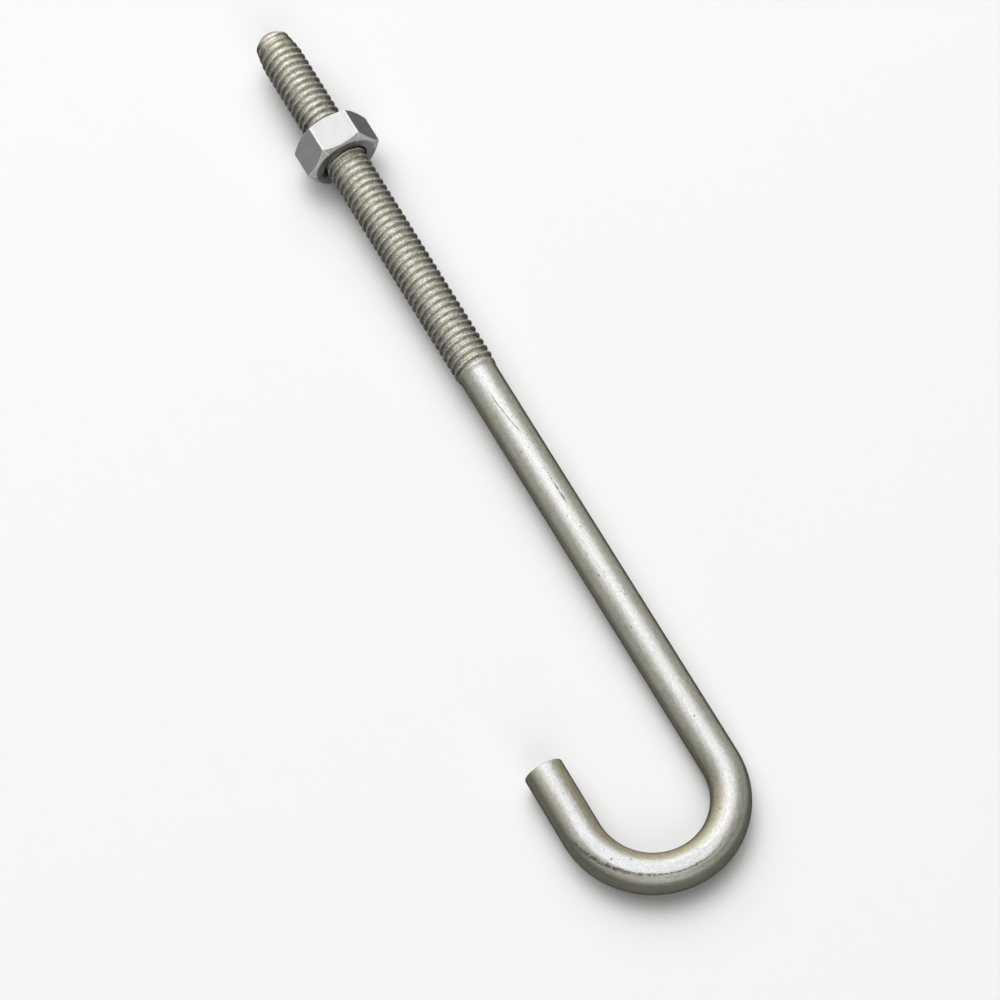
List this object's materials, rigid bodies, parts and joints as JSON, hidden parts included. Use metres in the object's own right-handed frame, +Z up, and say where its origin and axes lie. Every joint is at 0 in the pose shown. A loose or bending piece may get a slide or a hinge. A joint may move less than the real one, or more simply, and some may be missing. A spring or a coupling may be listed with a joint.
{
  "type": "j bolt",
  "caption": "Round steel rod with one end bent into an open half-turn hook and the other threaded, carrying a chamfered hexagon nut.",
  "frame": {"origin": "on the ground under the middle of the part's box, as the part lies", "axes": "+X along the part towards the threaded end, +Y towards the hook's leg, +Z up"},
  "size_m": [0.177, 0.0372, 0.0131],
  "materials": {
    "bolt_plating": "dull zinc plating with fine scratches and a warm tint",
    "nut_plating": "smooth satin zinc plating"
  },
  "bodies": {
    "bolt": {"j_bolt": "bolt_plating"},
    "nut": {"hex_nut": "nut_plating"}
  },
  "joints": [
    {"name": "nut_travel", "type": "slide", "parent": "bolt", "child": "nut", "axis": [0.9998, -0.0002, 0.0218], "range_m": [-0.04657, 0.02258]}
  ]
}
